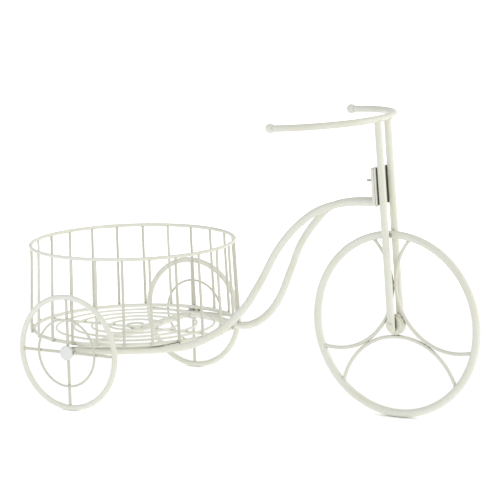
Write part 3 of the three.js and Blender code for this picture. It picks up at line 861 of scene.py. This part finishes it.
# One of the front wheel's curved wires, which bows in to the hub and ends at the rim twice
def front_arc(seed, steps=60):
    rim = FRONT_HUB - FRONT_RIM_TUBE / 2
    apex = HUB_COLLAR / 2 + WELD_GAP + ARC_WIRE / 2
    slant = math.sin(math.pi / ARCS)
    radius = (apex * slant - (ARC_WIRE + WELD_GAP) / 2) / (1 - slant)
    centre = apex + radius
    half = math.acos((centre**2 + radius**2 - rim**2) / (2 * centre * radius))
    path = []
    for i in range(steps + 1):
        a = math.pi - half + 2 * half * i / steps
        path.append((centre + radius * math.cos(a), 0, radius * math.sin(a)))
    path = np.array(path)
    chunks = [rod(path, ARC_WIRE, step=2.2, sides=WIRE_SIDES)]
    for k, (tip, before) in enumerate(((path[0], path[1]), (path[-1], path[-2]))):
        round_rim = (tip, np.cross(unit(tip), Y), FRONT_RIM_TUBE / 2)
        ahead = tip - before
        chunks.append(bead(tip, ahead, ARC_WIRE / 2, *round_rim, WIRE_BEAD, seed + k, WIRE_BEAD_CORNERS))
    chunks.append(nugget((apex - ARC_WIRE / 2 - WELD_GAP / 2, 0, 0), ARC_HUB_NUGGET, seed + 3))
    to_next = np.array([math.cos(math.pi / ARCS), 0, math.sin(math.pi / ARCS)])
    turn = np.stack([to_next, Y, np.cross(to_next, Y)], 1)
    chunks.append(nugget(to_next * centre / 2, ARC_PAIR_NUGGET, seed + 4, turn))
    return chunks


def front_hub():
    bore, end, step = PIN / 2 + RUN_GAP, HUB_LENGTH / 2, HUB_COLLAR_LENGTH / 2
    lower = [(bore, -end), (HUB / 2, -end), (HUB / 2, -step), (HUB_COLLAR / 2, -step)]
    upper = [(radius, -height) for radius, height in reversed(lower)]
    return lathe(lower + upper, edge=0.5, sides=64, closed=True)


def front_pin_pieces():
    reach = LEG_SPREAD + TUBE / 2 + WELD_GAP
    far_end = -reach + WELD_GAP - PIN_CAP_BORE
    bore = PIN / 2 + WELD_GAP
    dome = arc_profile(PIN_CAP / 2, PIN_CAP_HEIGHT / 3, PIN_CAP_HEIGHT)
    pin = [(0, far_end), (PIN / 2, far_end), (PIN / 2, reach), (PIN_CAP / 2, reach)]
    pin += [(radius, reach + height) for radius, height in dome]
    cap = [(0, PIN_CAP_BORE), (bore, PIN_CAP_BORE), (bore, 0), (PIN_CAP / 2, 0)] + dome
    piece("front_pin", facing(lathe(pin, edge=0.2), FRONT_CENTRE, -1))
    piece("front_pin_cap", facing(lathe(cap, edge=0.2), FRONT_CENTRE + reach * Y))


def front_wheel():
    middle = FRONT_HUB - FRONT_RIM_TUBE / 2
    rim = ring(middle, FRONT_RIM_TUBE, joint_angle=4.1, steps=240, sides=TUBE_SIDES, swell=0.03)
    piece("front_rim", facing(rim, FRONT_CENTRE))
    piece("front_hub", facing(front_hub(), FRONT_CENTRE))
    for i in range(ARCS):
        angle = math.radians(FIRST_ARC_ANGLE) + 2 * math.pi * i / ARCS
        x, z = math.cos(angle), math.sin(angle)
        turn = np.array([[x, 0, -z], [0, 1, 0], [z, 0, x]])
        # Each arc gets a little painted shade
        piece(f"front_arc_{i + 1}", moved(front_arc(60 + 5 * i), turn, FRONT_CENTRE), ARC_SHADE)


def spoked_hub():
    bore, outer, half = AXLE / 2 + RUN_GAP, SLEEVE / 2, SLEEVE_LENGTH / 2
    sleeve = [(bore, -half), (outer, -half), (outer, half), (bore, half)]
    chunks = lathe(sleeve, edge=0.4, closed=True)
    middle = REAR_HUB - REAR_RIM_TUBE / 2
    for k in range(SPOKES):
        out = about_z(2 * math.pi * k / SPOKES) @ X
        at = out * middle
        rim, sleeve_line = (at, np.cross(Z, out), REAR_RIM_TUBE / 2), (0 * Z, Z, outer)
        chunks.append(rod(straight(out * (bore + SPOKE_INSET), at), SPOKE, step=8))
        chunks.append(bead(at, out, SPOKE / 2, *rim, WIRE_BEAD, 80 + k, WIRE_BEAD_CORNERS))
        chunks.append(bead(at, -out, SPOKE / 2, *sleeve_line, WIRE_BEAD, 90 + k, WIRE_BEAD_CORNERS))
    return chunks


def inner_ring():
    radius = INNER_RING / 2
    lift = SPOKE / 2 + WELD_GAP + INNER_RING_WIRE / 2
    wire = ring(radius, INNER_RING_WIRE, joint_angle=0.6, steps=120, sides=12)
    chunks = moved(wire, offset=lift * Z)
    for k in range(SPOKES):
        at = about_z(2 * math.pi * k / SPOKES) @ X * radius + (SPOKE / 2 + WELD_GAP / 2) * Z
        chunks.append(nugget(at, SPOKE_NUGGET, 95 + k))
    return chunks


def hub_cap():
    bore = AXLE / 2 + WELD_GAP
    dome = arc_profile(HUB_CAP / 2, HUB_CAP_HEIGHT / 3, HUB_CAP_HEIGHT)
    profile = [(0, HUB_CAP_BORE), (bore, HUB_CAP_BORE), (bore, 0), (HUB_CAP / 2, 0)] + dome
    return lathe(profile, edge=0.25)


def rear_wheel(name, side):
    centre = np.array([ORIGIN_X, side * HALF_TRACK, REAR_HUB])
    cap_foot = centre + side * (SLEEVE_LENGTH / 2 + SIDE_GAP) * Y
    middle = REAR_HUB - REAR_RIM_TUBE / 2
    rim = ring(middle, REAR_RIM_TUBE, joint_angle=5.2, steps=180, sides=22, swell=0.04)
    piece(name + "_rim", facing(rim, centre, side))
    # The spokes and the inner ring get painted shade, as fine wire
    piece(name + "_spoked_hub", facing(spoked_hub(), centre, side), THIN_WIRE_SHADE)
    piece(name + "_inner_ring", facing(inner_ring(), centre, side), THIN_WIRE_SHADE)
    piece(name + "_cap", facing(hub_cap(), cap_foot, side))


basket_wall()
basket_floor()
frame_pieces()
bracket()
front_wheel()
front_pin_pieces()
rear_wheel("rear_left", 1)
rear_wheel("rear_right", -1)


# How the photograph's camera is turned
AZIMUTH, ELEVATION, ROLL = math.radians(32.455), math.radians(9.946), math.radians(-1.711)

# Light of the floor and the sky. What whitens the floor for the camera alone goes from the near lift
# to the far one, between these distances from its middle, in metres.
FLOOR_HALF = 6.0
FLOOR_COLOUR = (0.9, 0.9, 0.9)
FLOOR_ROUGHNESS = 0.9
FLOOR_GLOW = 0.36
NEAR, NEAR_LIFT = 0.45, 0.08
FAR, FAR_LIFT = 1.0, 0.8
SKY_LOW = 0.62
SKY_HIGH = 0.66
HIGH_FROM = 0.9
SKY_BEHIND = 0.34
SKY_AHEAD = 1.58
TINT_LEFT = (0.97, 1.0, 1.02)
TINT_RIGHT = (1.01, 1.0, 0.94)

# Painted shadows on the floor where each wheel touches it: there the floor's glow is cut away, so that
# the wheel's own shadow shows. Given are x, y, and half the length and width of each painted shadow
# in millimetres. Inside the core, a share of that size, the floor doesn't glow at all.
CONTACTS = (
    (FRONT_CENTRE[0], 0, 42, 9),
    (ORIGIN_X, HALF_TRACK, 20, 3.5),
    (ORIGIN_X, -HALF_TRACK, 20, 3.5),
)
CONTACT_CORE = 0.3


# One for the rays that show the background: the camera's, and those of metal and glass
def shown(nodes, links):
    rays = nodes.new("ShaderNodeLightPath").outputs
    beyond = calculated(nodes, links, "MAXIMUM", rays["Is Glossy Ray"], rays["Is Transmission Ray"])
    return calculated(nodes, links, "MAXIMUM", rays["Is Camera Ray"], beyond)


# White to the camera but for the object's shadow and the painted shadows under the wheels, and
# whiter farther off
def floor_material():
    material, nodes, links, shader = node_tree("floor_white")
    output = next(n for n in nodes if n.type == "OUTPUT_MATERIAL")
    shader.inputs["Base Color"].default_value = (*FLOOR_COLOUR, 1)
    shader.inputs["Roughness"].default_value = FLOOR_ROUGHNESS
    place = nodes.new("ShaderNodeTexCoord").outputs["Object"]
    away = vector_outputs(nodes, links, "LENGTH", place)["Value"]
    lift = ranged(nodes, links, away, NEAR_LIFT, FAR_LIFT, NEAR, FAR)
    glow = FLOOR_GLOW
    for x, y, long, wide in CONTACTS:
        scale = (1 / MILLIMETRE / long, 1 / MILLIMETRE / wide, 0)
        scaled = vector_outputs(nodes, links, "MULTIPLY_ADD", place, scale, (-x / long, -y / wide, 0))
        gap = vector_outputs(nodes, links, "LENGTH", scaled["Vector"])["Value"]
        open_share = ranged(nodes, links, gap, 0, 1, CONTACT_CORE, 1)
        glow = calculated(nodes, links, "MULTIPLY", open_share, glow)
    emission = nodes.new("ShaderNodeEmission")
    strength = calculated(nodes, links, "MULTIPLY_ADD", lift, shown(nodes, links), glow)
    links.new(strength, emission.inputs["Strength"])
    both = nodes.new("ShaderNodeAddShader")
    links.new(shader.outputs[0], both.inputs[0])
    links.new(emission.outputs[0], both.inputs[1])
    links.new(both.outputs[0], output.inputs["Surface"])
    return material


def floor():
    mesh = bpy.data.meshes.new("floor")
    corners = [(FLOOR_HALF * x, FLOOR_HALF * y, 0) for x, y in ((-1, -1), (1, -1), (1, 1), (-1, 1))]
    mesh.from_pydata(corners, [], [(0, 1, 2, 3)])
    mesh.materials.append(floor_material())
    made = bpy.data.objects.new("floor", mesh)
    bpy.context.scene.collection.objects.link(made)


# A studio that is brighter ahead of the planter than behind it, and plain white to the camera
def sky():
    world = bpy.data.worlds.new("studio")
    bpy.context.scene.world = world
    world.use_nodes = True
    nodes, links = world.node_tree.nodes, world.node_tree.links
    nodes.clear()
    output = nodes.new("ShaderNodeOutputWorld")
    light = nodes.new("ShaderNodeBackground")
    seen = nodes.new("ShaderNodeBackground")
    direction = nodes.new("ShaderNodeTexCoord").outputs["Generated"]
    parts = nodes.new("ShaderNodeSeparateXYZ")
    links.new(direction, parts.inputs[0])
    camera_right = (math.cos(AZIMUTH), math.sin(AZIMUTH), 0)
    side = vector_outputs(nodes, links, "DOT_PRODUCT", direction, camera_right)["Value"]
    over_height = ranged(nodes, links, parts.outputs["Z"], SKY_LOW, SKY_HIGH, 0, HIGH_FROM)
    over_length = ranged(nodes, links, parts.outputs["X"], SKY_BEHIND, SKY_AHEAD, -1, 1)
    tint = mixed(nodes, links, ranged(nodes, links, side, 0, 1, -1, 1), TINT_LEFT, TINT_RIGHT)
    strength = calculated(nodes, links, "MULTIPLY", over_height, over_length)
    links.new(strength, light.inputs["Strength"])
    links.new(tint, light.inputs["Color"])
    seen.inputs["Color"].default_value = (1, 1, 1, 1)
    seen.inputs["Strength"].default_value = 1
    choose = nodes.new("ShaderNodeMixShader")
    links.new(shown(nodes, links), choose.inputs[0])
    links.new(light.outputs[0], choose.inputs[1])
    links.new(seen.outputs[0], choose.inputs[2])
    links.new(choose.outputs[0], output.inputs["Surface"])


# A square lamp, its places and its side in metres
def lamp(name, at, aim, side, power, colour):
    data = bpy.data.lights.new(name, "AREA")
    data.shape = "SQUARE"
    data.size = side
    data.energy = power
    data.color = colour
    made = bpy.data.objects.new(name, data)
    made.location = at
    made.rotation_euler = (Vector(aim) - Vector(at)).to_track_quat("-Z", "Y").to_euler()
    made.visible_camera = False
    bpy.context.scene.collection.objects.link(made)


def lamps():
    lamp("key", (2.1, 1.1, 0.7), aim=(0.1, 0, 0.15), side=1.2, power=6, colour=(1.0, 0.98, 0.92))
    lamp("near", (-0.45, -0.65, 0.55), aim=(-0.18, 0, 0.12), side=0.3, power=0.85, colour=(0.87, 0.93, 1.06))


# Camera at the photograph's place, in millimetres. The focal length is in pixels of the photograph.
DISTANCE, FOCAL, PHOTO_SIDE = 3507.1, 3009.95, 500
TARGET = np.array([171.29 + ORIGIN_X, 0, 179.56])
SENSOR = 36


def camera():
    level_right = math.cos(AZIMUTH) * X + math.sin(AZIMUTH) * Y
    level_back = math.sin(AZIMUTH) * X - math.cos(AZIMUTH) * Y
    back = level_back * math.cos(ELEVATION) + Z * math.sin(ELEVATION)
    over = np.cross(back, level_right)
    right = level_right * math.cos(ROLL) + over * math.sin(ROLL)
    up = -level_right * math.sin(ROLL) + over * math.cos(ROLL)
    half_pixel = 0.5 * DISTANCE / FOCAL
    at = TARGET + back * DISTANCE - right * half_pixel + up * half_pixel
    matrix = np.eye(4)
    matrix[:3, :3] = np.stack([right, up, back], 1)
    matrix[:3, 3] = at * MILLIMETRE
    data = bpy.data.cameras.new("camera")
    data.sensor_width = SENSOR
    data.lens = FOCAL / PHOTO_SIDE * SENSOR
    data.clip_end = 100
    made = bpy.data.objects.new("camera", data)
    made.matrix_world = Matrix(matrix.tolist())
    bpy.context.scene.collection.objects.link(made)
    bpy.context.scene.camera = made


floor()
sky()
camera()
lamps()
bpy.context.scene.view_settings.view_transform = "Standard"
